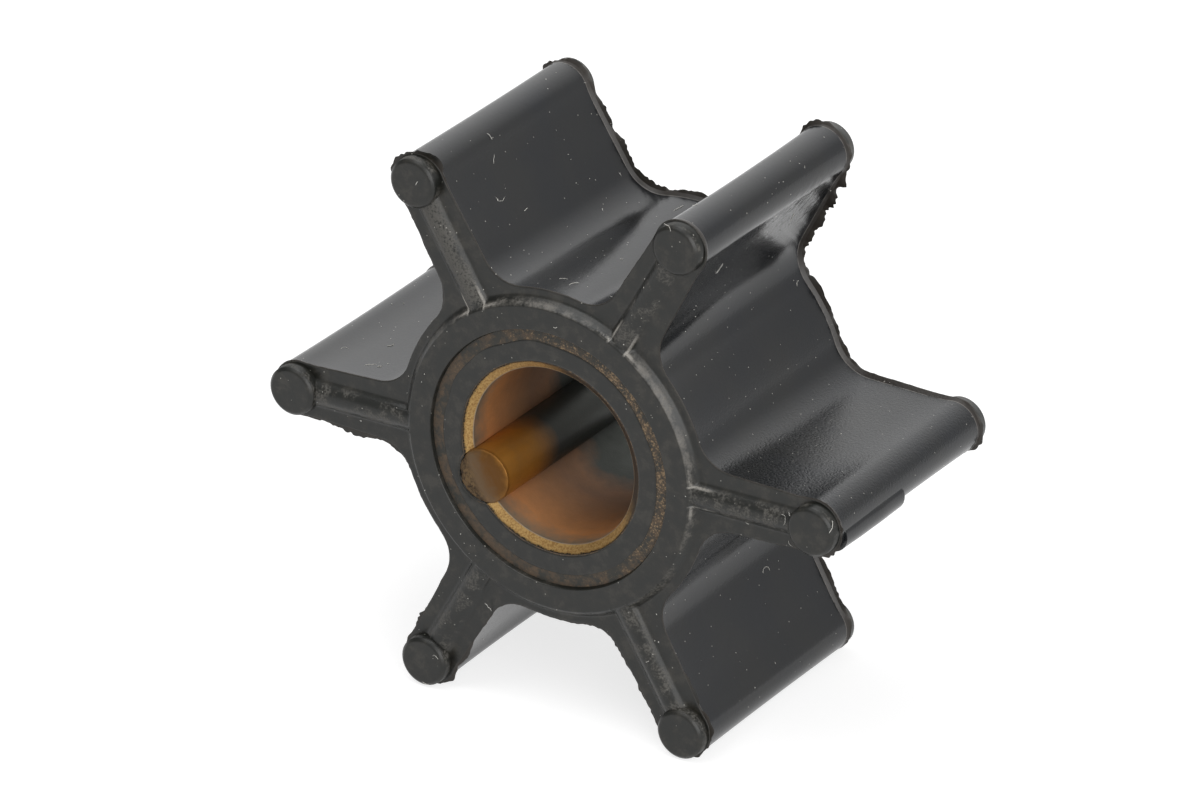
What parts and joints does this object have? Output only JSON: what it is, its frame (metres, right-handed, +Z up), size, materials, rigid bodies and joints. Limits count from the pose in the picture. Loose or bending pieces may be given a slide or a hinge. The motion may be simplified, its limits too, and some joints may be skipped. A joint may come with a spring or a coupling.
{
  "type": "rubber pump impeller",
  "caption": "Flexible rubber pump impeller with straight radial vanes, round bulb tips, ribbed end faces and a metal hub bush whose bore holds a round drive key.",
  "frame": {"origin": "the middle of the shaft bore, half way between the two end faces", "axes": "Y along the shaft bore with the front end towards -Y, X along two opposite vanes, +Z up; it stands on the tips of the two lowest vanes"},
  "size_m": [0.0448, 0.02, 0.0392],
  "materials": {
    "rubber": "satin black rubber, a little dusty",
    "bush_metal": "used brass, tarnished",
    "key_metal": "used brass, tarnished"
  },
  "bodies": {
    "root": {"rubber_body": "rubber", "hub_bushing": "bush_metal", "drive_key": "key_metal"}
  },
  "joints": []
}
